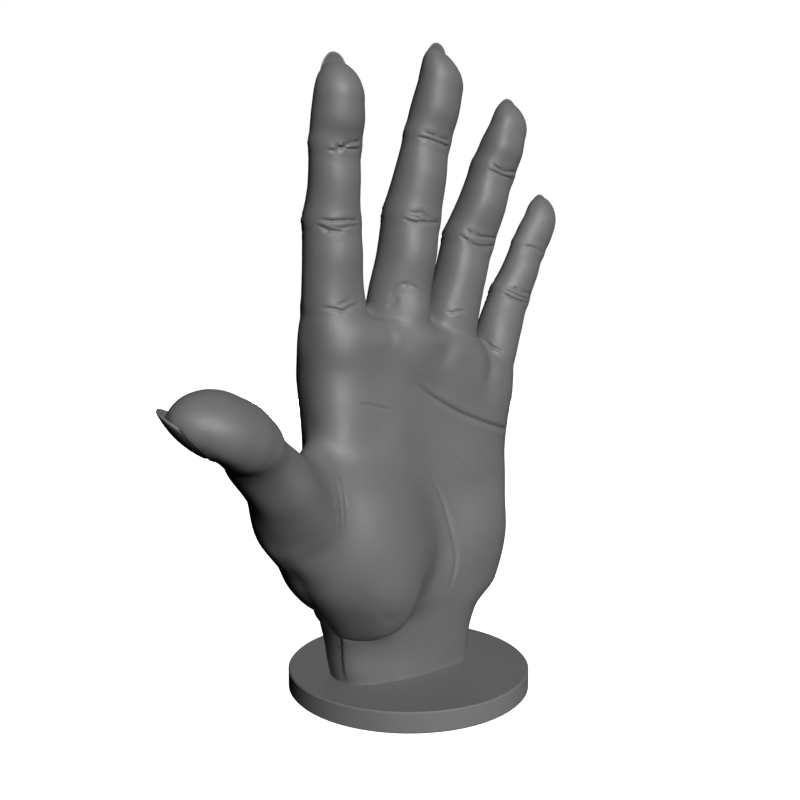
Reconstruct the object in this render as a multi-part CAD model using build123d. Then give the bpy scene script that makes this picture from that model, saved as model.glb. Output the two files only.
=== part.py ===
from build123d import *
from dataclasses import dataclass
from itertools import accumulate
from math import asin, cos, degrees, hypot, radians, sin, sqrt
import os

# Life-size left hand that stands on a round base, as used to show rings, bracelets and gloves.
# The hand is a hollow casting with separate nails bonded into their beds. A wooden plug closes the wrist
# and holds a threaded insert. One screw comes up through the base into that insert, and the hand turns on it.
#
# Frame: +Z up, the palm faces -Y, the thumb side is -X. The origin is on the base's axis, on the surface
# that the felt pad stands on. Sizes are in millimetres and angles in degrees.

# Base disc, and the felt pad let into its underside
BASE_DIAMETER = 80.0
BASE_EDGE_CHAMFER = 0.4
FELT_DIAMETER = 70.0
FELT_THICKNESS = 1.5
FELT_PROUD = 0.5
FELT_FIT = 0.2

# Pivot screw, and the counterbore that hides its head and spring washer
SCREW_DIAMETER = 6.0
SCREW_HEAD_DIAMETER = 10.5
SCREW_HEAD_HEIGHT = 2.6
SCREW_HEAD_ROUNDING = 0.9
SCREW_HEAD_ROOM = 0.5
SCREW_TIP_CHAMFER = 0.6
SCREW_TIP_BACK = 1.0
HEX_ACROSS_FLATS = 4.0
HEX_DEPTH = 1.6
PIVOT_CLEARANCE = 0.05
COUNTERBORE_FIT = 0.75
COUNTERBORE_FLOOR = 1.6
SPRING_WASHER_DIAMETER = 12.0
SPRING_WASHER_THICKNESS = 0.5
SPRING_WASHER_DISH = 0.3
SPRING_WASHER_FIT = 0.15

# Wrist plug, threaded insert, and the nylon washer that the hand turns on
TURN_GAP = 0.3
PLUG_BREADTH = 38.0
PLUG_SIDE_WALL = 1.65
PLUG_HEIGHT = 15.0
PLUG_CENTRE = (-3.2, 0.2)
CAVITY_OVERLAP = 1.0
BOND_GAP = 0.1
INSERT_WALL = 1.5
INSERT_LENGTH = 10.0
INSERT_FLANGE_RIM = 1.25
INSERT_FLANGE_THICKNESS = 1.0
THREAD_FIT = 0.02
GLIDE_WASHER_DIAMETER = 17.0
GLIDE_WASHER_THICKNESS = 1.3
GLIDE_WASHER_FIT = 0.1

# Nails and fingertips
NAIL_THICKNESS = 0.7
NAIL_PROUD = 0.25
TIP_ROUNDING = 9.0
TIP_RISE = 2.0

# Diameters that follow from the sizes above
COUNTERBORE_DIAMETER = SPRING_WASHER_DIAMETER + 2 * COUNTERBORE_FIT
PIVOT_BORE_DIAMETER = SCREW_DIAMETER + 2 * PIVOT_CLEARANCE
INSERT_BORE_DIAMETER = SCREW_DIAMETER + 2 * THREAD_FIT
INSERT_DIAMETER = INSERT_BORE_DIAMETER + 2 * INSERT_WALL
INSERT_FLANGE_DIAMETER = INSERT_DIAMETER + 2 * INSERT_FLANGE_RIM
GLIDE_SEAT_DIAMETER = GLIDE_WASHER_DIAMETER + 2 * GLIDE_WASHER_FIT
PLUG_DEPTH = GLIDE_SEAT_DIAMETER + 2 * PLUG_SIDE_WALL

# Levels that follow from the sizes above, from the table upwards
BASE_UNDERSIDE = FELT_PROUD
SCREW_HEAD_BOTTOM = FELT_THICKNESS + SCREW_HEAD_ROOM
SCREW_HEAD_TOP = SCREW_HEAD_BOTTOM + SCREW_HEAD_HEIGHT
COUNTERBORE_TOP = SCREW_HEAD_TOP + SPRING_WASHER_THICKNESS + SPRING_WASHER_DISH
BASE_TOP = COUNTERBORE_TOP + COUNTERBORE_FLOOR
WRIST_FOOT = BASE_TOP + TURN_GAP
GLIDE_WASHER_TOP = BASE_TOP + GLIDE_WASHER_THICKNESS
INSERT_FLANGE_TOP = GLIDE_WASHER_TOP + INSERT_FLANGE_THICKNESS
INSERT_TOP = GLIDE_WASHER_TOP + INSERT_LENGTH
SCREW_TIP = INSERT_TOP - SCREW_TIP_BACK


@dataclass
class PalmSlice:
    """Outline of the palm at one height.

    It has its rise above the slice below it, or above the wrist's foot, the two side edges, and the depth of
    flesh towards the palm and the back at three places across: near the thumb side, in the middle and near the
    little finger's side.
    """

    rise: float
    thumb_edge: float
    little_edge: float
    palm_depths: tuple
    back_depths: tuple


# Place of the outer depths as a share of half the breadth, and how square the palm's outline is: all over,
# and towards the first finger, where it has a ridge
PALM_PLACE = 0.74
PALM_SQUARENESS = 2.62
RIDGE_SQUARENESS = 4.78
RIDGE_START = 40.0
RIDGE_FULL = 80.0
PALM_SLICES = {
    "foot": PalmSlice(
        rise=0.0, thumb_edge=-29.0, little_edge=22.0,
        palm_depths=(10.5, 14.5, 11.0), back_depths=(12.5, 14.5, 11.5),
    ),
    "wrist": PalmSlice(
        rise=9.0, thumb_edge=-29.0, little_edge=21.4,
        palm_depths=(10.5, 12.6, 11.2), back_depths=(12.4, 14.2, 11.5),
    ),
    "above_wrist": PalmSlice(
        rise=9.0, thumb_edge=-30.8, little_edge=24.2,
        palm_depths=(12.1, 13.8, 13.3), back_depths=(12.4, 14.0, 11.4),
    ),
    "wrist_to_palm": PalmSlice(
        rise=9.0, thumb_edge=-30.9, little_edge=32.1,
        palm_depths=(17.4, 16.7, 15.3), back_depths=(12.4, 14.1, 11.0),
    ),
    "low_palm": PalmSlice(
        rise=17.0, thumb_edge=-33.6, little_edge=36.5,
        palm_depths=(13.0, 15.8, 15.5), back_depths=(12.4, 13.5, 10.6),
    ),
    "mid_palm": PalmSlice(
        rise=18.0, thumb_edge=-37.2, little_edge=36.7,
        palm_depths=(13.4, 13.4, 14.5), back_depths=(10.6, 13.5, 10.1),
    ),
    "high_palm": PalmSlice(
        rise=18.0, thumb_edge=-39.1, little_edge=38.6,
        palm_depths=(13.8, 12.7, 13.0), back_depths=(10.7, 13.0, 9.5),
    ),
    "knuckles": PalmSlice(
        rise=15.0, thumb_edge=-40.0, little_edge=41.6,
        palm_depths=(12.0, 13.2, 12.6), back_depths=(11.7, 12.5, 9.1),
    ),
    "above_knuckles": PalmSlice(
        rise=11.0, thumb_edge=-40.4, little_edge=36.3,
        palm_depths=(12.6, 14.2, 9.6), back_depths=(8.2, 9.3, 6.2),
    ),
    "between_fingers": PalmSlice(
        rise=7.0, thumb_edge=-40.0, little_edge=27.0,
        palm_depths=(10.5, 10.9, 7.2), back_depths=(4.6, 5.2, 3.8),
    ),
    "top": PalmSlice(
        rise=5.0, thumb_edge=-34.0, little_edge=19.0,
        palm_depths=(2.5, 3.0, 2.0), back_depths=(1.6, 2.5, 1.7),
    ),
}
PALM_SPANS = [
    ["foot", "wrist", "above_wrist", "wrist_to_palm"],
    ["wrist_to_palm", "low_palm", "mid_palm", "high_palm", "knuckles"],
    ["knuckles", "above_knuckles", "between_fingers", "top"],
]

# The hollow inside the palm, from just inside the plug upwards
CAVITY_SLICES = {
    "in_plug": PalmSlice(
        rise=PLUG_HEIGHT - CAVITY_OVERLAP, thumb_edge=-20.5, little_edge=14.5,
        palm_depths=(5.5, 8.5, 5.5), back_depths=(5.5, 8.5, 5.5),
    ),
    "low": PalmSlice(
        rise=16.0, thumb_edge=-22.0, little_edge=21.0,
        palm_depths=(6.5, 9.0, 8.0), back_depths=(5.5, 8.5, 6.0),
    ),
    "middle": PalmSlice(
        rise=30.0, thumb_edge=-28.0, little_edge=31.0,
        palm_depths=(6.5, 7.0, 9.0), back_depths=(5.5, 8.0, 5.0),
    ),
    "high": PalmSlice(
        rise=28.0, thumb_edge=-31.0, little_edge=33.0,
        palm_depths=(6.5, 6.5, 6.5), back_depths=(5.5, 7.0, 4.0),
    ),
}


@dataclass
class Mound:
    """Rounded swelling of the palm.

    It has its centre above the wrist's foot, its half sizes, the height of its lower half, and its turns about
    X, Y and Z.
    """

    centre: tuple
    half_sizes: tuple
    lower: float
    turns: tuple


MOUNDS = {
    "ball_of_thumb": Mound(
        centre=(-22.2, -7.6, 43.2), half_sizes=(25.9, 21.0, 34.0), lower=23.6, turns=(3.0, -29.0, 18.5),
    ),
    "thumb_root": Mound(
        centre=(-20.2, -0.6, 28.3), half_sizes=(15.9, 19.3, 14.0), lower=14.0, turns=(4.6, -27.5, -28.6),
    ),
    "thumb_web": Mound(
        centre=(-36.6, -9.7, 57.8), half_sizes=(21.3, 8.5, 19.7), lower=19.7, turns=(19.2, -34.1, 37.8),
    ),
    "web_front": Mound(
        centre=(-32.2, -6.4, 64.3), half_sizes=(19.9, 9.3, 16.4), lower=16.4, turns=(18.1, -24.0, 13.5),
    ),
    "web_back": Mound(
        centre=(-29.8, 4.7, 49.0), half_sizes=(14.6, 8.6, 18.9), lower=18.9, turns=(20.3, -39.5, -0.3),
    ),
    "palm_side": Mound(
        centre=(-13.9, -11.0, 65.2), half_sizes=(20.3, 6.1, 19.7), lower=19.7, turns=(-19.1, 3.6, 15.6),
    ),
    "thumb_side": Mound(
        centre=(-42.6, -14.1, 49.5), half_sizes=(13.9, 13.4, 15.6), lower=15.6, turns=(-0.1, -39.1, -0.1),
    ),
}


@dataclass
class Nail:
    """Curved plate.

    It has its breadth, its length, its free length past the flesh, its top's crosswise and lengthwise radii,
    and how far its free end is tilted towards the palm.
    """

    breadth: float
    length: float
    free: float
    cross_radius: float
    long_radius: float
    tilt: float


# Shape of every nail's outline, as shares of half its length and half its breadth
NAIL_OUTLINE = [
    (1.0, 0.0), (0.82, 0.54), (0.2, 0.97), (-0.5, 0.97), (-0.9, 0.62),
    (-1.0, 0.0), (-0.9, -0.62), (-0.5, -0.97), (0.2, -0.97), (0.82, -0.54),
]


@dataclass
class Section:
    """Cross-section of a digit.

    It has its breadth, its depth from the bone to the palm side and to the back, and how far its middle is
    shifted sideways from the bone.
    """

    breadth: float
    palm: float
    back: float
    shift: float = 0.0


@dataclass
class Bone:
    """Segment of a digit: its length, its turn towards the little finger's side and its lean towards the palm."""

    length: float
    turn: float
    lean: float


@dataclass
class Digit:
    """A finger or the thumb, from its root inside the palm to the tip of its flesh.

    root is above the wrist's foot. web is how far along the first bone the palm ends. back is the way that the
    nail faces. pad_flat and pad_skew make the palm side flatter or fuller on one side.
    """

    root: tuple
    bones: list
    web: float
    back: tuple
    pad_flat: float
    pad_skew: float
    at_root: Section
    at_web: Section
    at_belly: Section
    at_joint: Section
    at_waist: Section
    at_last_joint: Section
    at_bulge: Section
    at_pad: Section
    nail: Nail


DIGITS = {
    "thumb": Digit(
        root=(-25.0, -2.3, 29.4),
        bones=[Bone(40.9, -42.4, 22.2), Bone(34.0, -39.6, 26.8), Bone(25.6, -65.6, 1.9)],
        web=20.0,
        back=(-0.44, 0.28, -0.75),
        pad_flat=0.08,
        pad_skew=-0.10,
        at_root=Section(32.9, 14.9, 11.2, -5.5),
        at_web=Section(41.4, 12.8, 12.8, -2.4),
        at_belly=Section(35.1, 12.8, 12.0, -2.6),
        at_joint=Section(27.6, 13.7, 11.8, -2.0),
        at_waist=Section(22.4, 9.9, 9.2, -0.8),
        at_last_joint=Section(17.9, 7.1, 9.7, -0.3),
        at_bulge=Section(21.4, 10.0, 6.9, 1.1),
        at_pad=Section(18.4, 8.5, 6.6, 1.9),
        nail=Nail(14.0, 16.5, 2.7, 9.0, 27.0, 20.0),
    ),
    "index": Digit(
        root=(-28.2, -0.4, 96.6),
        bones=[Bone(46.5, -3.0, 2.8), Bone(22.3, -1.4, 9.9), Bone(23.5, -1.8, 11.4)],
        web=21.0,
        back=(0.03, 0.96, 0.00),
        pad_flat=0.11,
        pad_skew=-0.02,
        at_root=Section(20.8, 9.6, 12.5),
        at_web=Section(20.4, 9.4, 8.4),
        at_belly=Section(18.8, 9.2, 7.7),
        at_joint=Section(17.8, 8.2, 8.4),
        at_waist=Section(16.2, 7.8, 6.4),
        at_last_joint=Section(16.0, 6.6, 6.4),
        at_bulge=Section(16.5, 7.8, 5.6),
        at_pad=Section(15.0, 6.8, 5.2),
        nail=Nail(10.0, 15.0, 2.8, 7.0, 34.0, 0.0),
    ),
    "middle": Digit(
        root=(-8.3, -0.6, 99.5),
        bones=[Bone(47.4, 7.9, 3.5), Bone(25.1, 8.0, 8.9), Bone(26.3, 8.6, 9.9)],
        web=22.0,
        back=(-0.10, 0.99, 0.00),
        pad_flat=0.10,
        pad_skew=-0.05,
        at_root=Section(19.7, 10.3, 12.4),
        at_web=Section(21.4, 10.1, 8.5),
        at_belly=Section(19.3, 10.2, 8.0),
        at_joint=Section(19.0, 8.9, 8.5),
        at_waist=Section(17.6, 8.5, 6.7),
        at_last_joint=Section(15.8, 6.6, 6.4),
        at_bulge=Section(15.7, 7.9, 5.7),
        at_pad=Section(15.1, 6.7, 5.4),
        nail=Nail(10.2, 15.5, 3.6, 7.0, 34.0, 0.0),
    ),
    "ring": Digit(
        root=(9.7, -1.0, 95.7),
        bones=[Bone(47.0, 16.0, 1.7), Bone(24.2, 17.5, 9.1), Bone(23.8, 18.4, 7.4)],
        web=21.5,
        back=(0.02, 0.99, 0.00),
        pad_flat=0.15,
        pad_skew=0.04,
        at_root=Section(18.5, 9.4, 11.6),
        at_web=Section(19.2, 9.2, 8.2),
        at_belly=Section(17.6, 8.7, 7.5),
        at_joint=Section(17.7, 7.5, 8.2),
        at_waist=Section(16.4, 8.6, 6.6),
        at_last_joint=Section(15.7, 6.6, 6.2),
        at_bulge=Section(15.3, 7.6, 5.4),
        at_pad=Section(13.5, 6.2, 5.0),
        nail=Nail(9.6, 14.0, 2.6, 6.6, 32.0, 0.0),
    ),
    "little": Digit(
        root=(25.9, -0.3, 82.3),
        bones=[Bone(44.0, 22.5, 1.1), Bone(18.4, 24.2, 3.5), Bone(19.8, 23.9, 3.2)],
        web=20.5,
        back=(0.03, 0.99, 0.00),
        pad_flat=0.01,
        pad_skew=-0.10,
        at_root=Section(16.4, 8.2, 8.8),
        at_web=Section(16.7, 9.0, 7.1),
        at_belly=Section(16.1, 7.5, 6.5),
        at_joint=Section(14.9, 5.8, 6.8),
        at_waist=Section(13.7, 6.1, 5.4),
        at_last_joint=Section(12.9, 4.8, 5.1),
        at_bulge=Section(13.4, 5.5, 4.5),
        at_pad=Section(12.1, 5.4, 4.2),
        nail=Nail(8.0, 11.0, 1.8, 5.4, 28.0, 0.0),
    ),
}


def above_foot(point):
    """Point given above the wrist's foot, in the part's frame."""
    return Vector(*point) + Vector(0, 0, WRIST_FOOT)


def closed_face(points):
    """Face inside a smooth closed outline, with evenly spaced knots so that such outlines loft cleanly."""
    count = len(points)
    knots = [i / count for i in range(count + 1)]
    return Face(Wire(Edge.make_spline([Vector(*p) for p in points], periodic=True, parameters=knots)))


def ease(low, high, value):
    """Smooth step from 0 at low to 1 at high, in either direction."""
    share = min(max((value - low) / (high - low), 0.0), 1.0)
    return share * share * (3 - 2 * share)


def palm_depth(depths, height, u):
    """Depth of flesh at a place across a slice, where u goes from -1 at the thumb side to 1."""
    ridge = ease(RIDGE_START, RIDGE_FULL, height) * ease(0.2, -0.4, u)
    power = PALM_SQUARENESS + (RIDGE_SQUARENESS - PALM_SQUARENESS) * ridge
    edge = sqrt(1 - PALM_PLACE ** power)
    thumb, middle, little = depths[0] / edge, depths[1], depths[2] / edge
    v = u / PALM_PLACE
    depth = middle + (little - thumb) / 2 * v + ((thumb + little) / 2 - middle) * v * v
    return depth * sqrt(1 - abs(u) ** power)


def palm_face(piece, height):
    """Face of one slice of the palm at its height above the wrist's foot."""
    centre = (piece.little_edge + piece.thumb_edge) / 2
    half = (piece.little_edge - piece.thumb_edge) / 2
    steps = [-cos(radians(angle)) for angle in range(18, 180, 18)]
    front = [(centre + half * u, -palm_depth(piece.palm_depths, height, u)) for u in steps]
    back = [(centre + half * u, palm_depth(piece.back_depths, height, u)) for u in steps]
    outline = [(piece.thumb_edge, 0.0), *front, (piece.little_edge, 0.0), *reversed(back)]
    return closed_face([above_foot((x, y, height)) for x, y in outline])


def palm_flesh(slices, span):
    """Solid through the slices that span names, in a stack whose heights add up from the wrist's foot."""
    heights = dict(zip(slices, accumulate(piece.rise for piece in slices.values())))
    return loft([palm_face(slices[name], heights[name]) for name in span])


def mound_flesh(mound):
    """Solid of one mound, whose lower half may be shorter than its upper half."""
    length, depth, height = mound.half_sizes
    upper = Sphere(1, arc_size1=0, align=(Align.CENTER, Align.CENTER, Align.MIN))
    lower = Sphere(1, arc_size2=0, align=(Align.CENTER, Align.CENTER, Align.MAX))
    upper = scale(upper, by=(length, depth, height))
    lower = scale(lower, by=(length, depth, mound.lower))
    return Location(above_foot(mound.centre), mound.turns) * (upper + lower)


def direction(turn, lean):
    """Unit vector that leaves +Z by a turn towards +X and a lean towards -Y."""
    flat = cos(radians(lean))
    return Vector(sin(radians(turn)) * flat, -sin(radians(lean)), cos(radians(turn)) * flat)


def joints_of(digit):
    """Centres of a digit's joints, from its root to its tip."""
    points = [above_foot(digit.root)]
    for bone in digit.bones:
        points.append(points[-1] + direction(bone.turn, bone.lean) * bone.length)
    return points


def square_to(way, back):
    """Unit vector nearest to back that is square to way."""
    return (back - way * back.dot(way)).normalized()


def flesh_face(digit, point, way, section, shrink=1.0):
    """Face across a digit, rounded between its breadth and its two depths."""
    rear = square_to(way, Vector(*digit.back))
    across = way.cross(rear)
    half = section.breadth / 2
    outline = []
    for angle in range(0, 360, 30):
        x = cos(radians(angle))
        y = sin(radians(angle))
        depth = section.back
        if y < 0:
            depth = section.palm * (1 + digit.pad_flat * x * x + digit.pad_skew * x)
        outline.append(point + across * (section.shift + x * half * shrink) + rear * (y * depth * shrink))
    return closed_face(outline)


def digit_flesh(digit):
    """Solids of one digit: a loft for each segment between its joints, and one more for the rounded tip."""
    root, joint, last, tip = joints_of(digit)
    first_way = (joint - root).normalized()
    middle_way = (last - joint).normalized()
    last_way = (tip - last).normalized()
    web = root + first_way * digit.web
    pad = tip - last_way * TIP_ROUNDING
    at_root = flesh_face(digit, root, first_way, digit.at_root)
    at_web = flesh_face(digit, web, first_way, digit.at_web)
    at_belly = flesh_face(digit, (web + joint) * 0.5, first_way, digit.at_belly)
    at_joint = flesh_face(digit, joint, (first_way + middle_way).normalized(), digit.at_joint)
    at_waist = flesh_face(digit, (joint + last) * 0.5, middle_way, digit.at_waist)
    at_last = flesh_face(digit, last, (middle_way + last_way).normalized(), digit.at_last_joint)
    at_bulge = flesh_face(digit, (last + pad) * 0.5, last_way, digit.at_bulge)
    at_pad = flesh_face(digit, pad, last_way, digit.at_pad)
    rise = square_to(last_way, Vector(*digit.back)) * TIP_RISE
    side = last_way.cross(rise.normalized()) * digit.at_pad.shift
    tip_faces = []
    for angle in (30, 60):
        reach = sin(radians(angle))
        point = pad + last_way * (TIP_ROUNDING * reach) + rise * reach ** 2
        tip_faces.append(flesh_face(digit, point, last_way, digit.at_pad, cos(radians(angle))))
    return [
        loft([at_root, at_web, at_belly, at_joint]),
        loft([at_joint, at_waist, at_last]),
        loft([at_last, at_bulge, at_pad]),
        loft([at_pad, *tip_faces, Vertex(*(tip + rise + side))]),
    ]


def nail_seat(digit):
    """Plane of a nail's top at its middle, where it touches the rounded tip at its own tilt."""
    nail = digit.nail
    *_, last, tip = joints_of(digit)
    way = (tip - last).normalized()
    rear = square_to(way, Vector(*digit.back))
    sine = sin(radians(nail.tilt))
    cosine = cos(radians(nail.tilt))
    size = hypot(TIP_ROUNDING * sine, digit.at_pad.back * cosine)
    ahead = TIP_ROUNDING ** 2 * sine / size
    touch = tip + way * (ahead - TIP_ROUNDING) + rear * (digit.at_pad.back ** 2 * cosine / size)
    side = way.cross(rear) * digit.at_pad.shift
    nail_way = way * cosine - rear * sine
    nail_rear = rear * cosine + way * sine
    forward = nail_way * (TIP_ROUNDING - ahead + nail.free - nail.length / 2)
    return Plane(touch + side + forward + nail_rear * NAIL_PROUD, x_dir=nail_way, z_dir=nail_rear)


def nail_plate(digit, grow=0.0, lift=0.0):
    """Nail of one digit in its place.

    grow widens its outline and deepens its underside, and lift raises its top: both are for cutting its bed.
    """
    nail = digit.nail
    half_length = nail.length / 2 + grow
    half_breadth = nail.breadth / 2 + grow
    outline = closed_face([(x * half_length, y * half_breadth, -0.75 * nail.cross_radius) for x, y in NAIL_OUTLINE])
    blank = extrude(outline, 0.75 * nail.cross_radius + lift + 1.0, dir=(0, 0, 1))
    middle = Plane((0, 0, -nail.cross_radius), x_dir=(0, 1, 0), z_dir=(1, 0, 0))
    hoop = Circle(nail.cross_radius + lift) - Circle(nail.cross_radius - NAIL_THICKNESS - grow)
    bend = Axis((0, 0, -nail.long_radius), (0, 1, 0))
    arc = 2 * degrees(asin((half_length + 1.0) / (nail.long_radius - nail.cross_radius)))
    band = revolve(middle * hoop, bend, arc).rotate(bend, -arc / 2)
    return nail_seat(digit).location * (band & blank)


def post(diameter, bottom, top):
    """Upright round post on the base's axis, between two levels."""
    return Pos(0, 0, bottom) * Cylinder(diameter / 2, top - bottom, align=(Align.CENTER, Align.CENTER, Align.MIN))


def plug_blank(gap=0.0):
    """Oval post that fills the wrist, grown sideways by a gap."""
    oval = Ellipse(PLUG_BREADTH / 2 + gap, PLUG_DEPTH / 2 + gap)
    return extrude(Pos(*PLUG_CENTRE, WRIST_FOOT) * oval, PLUG_HEIGHT + gap)


def make_hand_shell():
    """Hollow casting with a socket for the plug and a bed for each nail."""
    flesh = [palm_flesh(PALM_SLICES, span) for span in PALM_SPANS]
    flesh.extend(mound_flesh(mound) for mound in MOUNDS.values())
    for digit in DIGITS.values():
        flesh.extend(digit_flesh(digit))
    cavity = palm_flesh(CAVITY_SLICES, CAVITY_SLICES)
    beds = [nail_plate(digit, BOND_GAP, digit.nail.cross_radius) for digit in DIGITS.values()]
    return flesh[0].fuse(*flesh[1:]).cut(cavity, plug_blank(BOND_GAP), *beds)


def make_wrist_plug():
    """Wooden plug with seats for the insert and the glide washer in its underside."""
    plug = plug_blank()
    plug -= post(GLIDE_SEAT_DIAMETER, WRIST_FOOT, GLIDE_WASHER_TOP)
    plug -= post(INSERT_FLANGE_DIAMETER + 2 * BOND_GAP, GLIDE_WASHER_TOP, INSERT_FLANGE_TOP)
    plug -= post(INSERT_DIAMETER + 2 * BOND_GAP, INSERT_FLANGE_TOP, INSERT_TOP)
    return plug


def make_threaded_insert():
    """Flanged sleeve that takes the screw, its thread left plain."""
    sleeve = post(INSERT_FLANGE_DIAMETER, GLIDE_WASHER_TOP, INSERT_FLANGE_TOP)
    sleeve += post(INSERT_DIAMETER, INSERT_FLANGE_TOP, INSERT_TOP)
    return sleeve - post(INSERT_BORE_DIAMETER, GLIDE_WASHER_TOP, INSERT_TOP)


def make_glide_washer():
    """Flat ring that carries the hand on the base's top."""
    ring = post(GLIDE_WASHER_DIAMETER, BASE_TOP, GLIDE_WASHER_TOP)
    return ring - post(PIVOT_BORE_DIAMETER, BASE_TOP, GLIDE_WASHER_TOP)


def make_pivot_screw():
    """Button-head screw with a hexagon socket."""
    head = post(SCREW_HEAD_DIAMETER, SCREW_HEAD_BOTTOM, SCREW_HEAD_TOP)
    head = fillet(head.edges().sort_by(Axis.Z)[0], SCREW_HEAD_ROUNDING)
    shank = post(SCREW_DIAMETER, SCREW_HEAD_TOP, SCREW_TIP)
    shank = chamfer(shank.edges().sort_by(Axis.Z)[-1], SCREW_TIP_CHAMFER)
    hexagon = RegularPolygon(HEX_ACROSS_FLATS / 2, 6, major_radius=False)
    socket = extrude(Pos(0, 0, SCREW_HEAD_BOTTOM) * hexagon, HEX_DEPTH)
    return head + shank - socket


def make_spring_washer():
    """Coned washer between the screw's head and the counterbore's floor."""
    inner = SCREW_DIAMETER / 2 + SPRING_WASHER_FIT
    outer = SPRING_WASHER_DIAMETER / 2
    low = SCREW_HEAD_TOP
    high = COUNTERBORE_TOP
    corners = [
        (inner, 0, low),
        (outer, 0, high - SPRING_WASHER_THICKNESS),
        (outer, 0, high),
        (inner, 0, low + SPRING_WASHER_THICKNESS),
    ]
    return revolve(Face(Wire.make_polygon([Vector(*c) for c in corners])), Axis.Z, 360)


def make_base_disc():
    """Round base with a recess for the felt, a counterbore for the screw's head and a bore for its shank."""
    disc = post(BASE_DIAMETER, BASE_UNDERSIDE, BASE_TOP)
    disc = chamfer(disc.edges(), BASE_EDGE_CHAMFER)
    disc -= post(FELT_DIAMETER + 2 * FELT_FIT, BASE_UNDERSIDE, FELT_THICKNESS)
    disc -= post(COUNTERBORE_DIAMETER, BASE_UNDERSIDE, COUNTERBORE_TOP)
    return disc - post(PIVOT_BORE_DIAMETER, BASE_UNDERSIDE, BASE_TOP)


def make_felt_pad():
    """Felt disc that the base stands on, which also covers the screw's head."""
    return post(FELT_DIAMETER, 0, FELT_THICKNESS)


def main():
    pieces = {
        "hand_shell": make_hand_shell(),
        "wrist_plug": make_wrist_plug(),
        "threaded_insert": make_threaded_insert(),
        "glide_washer": make_glide_washer(),
        "pivot_screw": make_pivot_screw(),
        "spring_washer": make_spring_washer(),
        "base_disc": make_base_disc(),
        "felt_pad": make_felt_pad(),
    }
    for name, digit in DIGITS.items():
        pieces[f"{name}_nail"] = nail_plate(digit)
    os.makedirs("parts", exist_ok=True)
    for name, piece in pieces.items():
        print(name, "solids:", len(piece.solids()), "valid:", piece.is_valid, "volume:", round(piece.volume, 1))
        export_step(piece, f"parts/{name}.step")


if __name__ == "__main__":
    main()
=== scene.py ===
import math
import bmesh
import bpy
import numpy as np
import openvdb
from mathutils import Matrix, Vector


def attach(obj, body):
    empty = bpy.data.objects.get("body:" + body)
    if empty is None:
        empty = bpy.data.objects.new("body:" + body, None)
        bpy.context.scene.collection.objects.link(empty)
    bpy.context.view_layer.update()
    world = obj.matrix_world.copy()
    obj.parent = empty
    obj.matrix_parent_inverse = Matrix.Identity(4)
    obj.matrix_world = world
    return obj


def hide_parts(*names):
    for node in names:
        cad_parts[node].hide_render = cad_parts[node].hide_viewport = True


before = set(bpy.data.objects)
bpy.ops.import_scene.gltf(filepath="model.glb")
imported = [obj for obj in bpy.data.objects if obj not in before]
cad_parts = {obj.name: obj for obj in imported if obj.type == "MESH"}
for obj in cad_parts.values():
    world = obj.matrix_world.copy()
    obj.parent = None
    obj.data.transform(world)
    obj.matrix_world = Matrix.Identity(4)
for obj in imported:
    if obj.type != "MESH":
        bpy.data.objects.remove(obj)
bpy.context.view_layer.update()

# Sizes are in millimetres, as in the solids, and become metres when a mesh is made.
# Heights of the palm, mounds, digits' roots, swellings and tendons are above the wrist's foot.
WRIST_FOOT = 7.3
# The skin ends below the wrist's foot, just inside the disc's top, and hides the gap that the hand turns in
SKIRT_FOOT = 6.7

# Grid that the skin is taken from: low corner, size, size of a cell, cells along a coarse cell, how far from
# the skin distances are kept, and how far below the wrist's foot the skin goes before it is cut
GRID_LOW = np.array([-99.0, -48.0, WRIST_FOOT - 6.0])
GRID_SIZE = np.array([166.0, 94.0, 206.0])
CELL = 1.34
COARSE = 3
REACH = 3.6
BELOW_FOOT = 4.0
# Edges that turn more than this aren't smoothed over
SHARP = math.radians(60)

# Socket of the wrist's plug: its centre, its half sizes, the height of its top, and the parts of its outline
PLUG_CENTRE = (-3.2, 0.2)
PLUG_HALF = (19.1, 10.35)
PLUG_TOP = 22.4
PLUG_PARTS = 96

# How softly forms join: thumb and palm, fingers and palm, two fingers, and a finger's segments
THUMB_JOIN = 14.6
FINGER_JOIN = 4.7
NEIGHBOUR_JOIN = 1.0
SEGMENT_JOIN = 2.5

# Roundness of a segment's ends, room round a digit's joints for its flesh, and a distance beyond all flesh
END_ROUNDNESS = 0.85
DIGIT_ROOM = 24.0
FAR = 50.0

# Palm at each height: thumb edge, little finger's edge, three depths to the palm, three to the back
PALM_ROWS = np.array([
    (0, -26.7, 22.0, 8.0, 12.4, 10.9, 12.5, 14.5, 11.5),
    (9, -28.5, 21.4, 9.5, 13.5, 12.6, 12.5, 14.2, 11.5),
    (18, -30.8, 24.3, 12.0, 15.6, 13.1, 12.0, 14.0, 11.3),
    (27, -30.7, 32.2, 18.4, 17.4, 14.5, 11.5, 14.0, 11.0),
    (44, -33.0, 36.5, 12.5, 15.7, 15.5, 11.0, 13.5, 10.5),
    (62, -35.6, 36.7, 12.4, 13.2, 12.5, 10.5, 13.5, 10.0),
    (80, -38.4, 38.7, 15.0, 13.0, 12.6, 11.0, 13.0, 9.5),
    (95, -39.8, 41.4, 12.9, 13.4, 11.5, 11.5, 12.5, 9.0),
    (106, -39.9, 29.3, 10.7, 14.1, 9.6, 8.0, 9.0, 6.0),
    (112, -39.1, 20.2, 9.1, 10.1, 5.8, 4.5, 5.0, 3.5),
    (116, -34.0, 15.0, 2.5, 3.0, 2.0, 1.5, 2.0, 1.5),
    (117, -33.0, 14.0, 1.0, 1.0, 1.0, 1.0, 1.0, 1.0),
])
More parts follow.
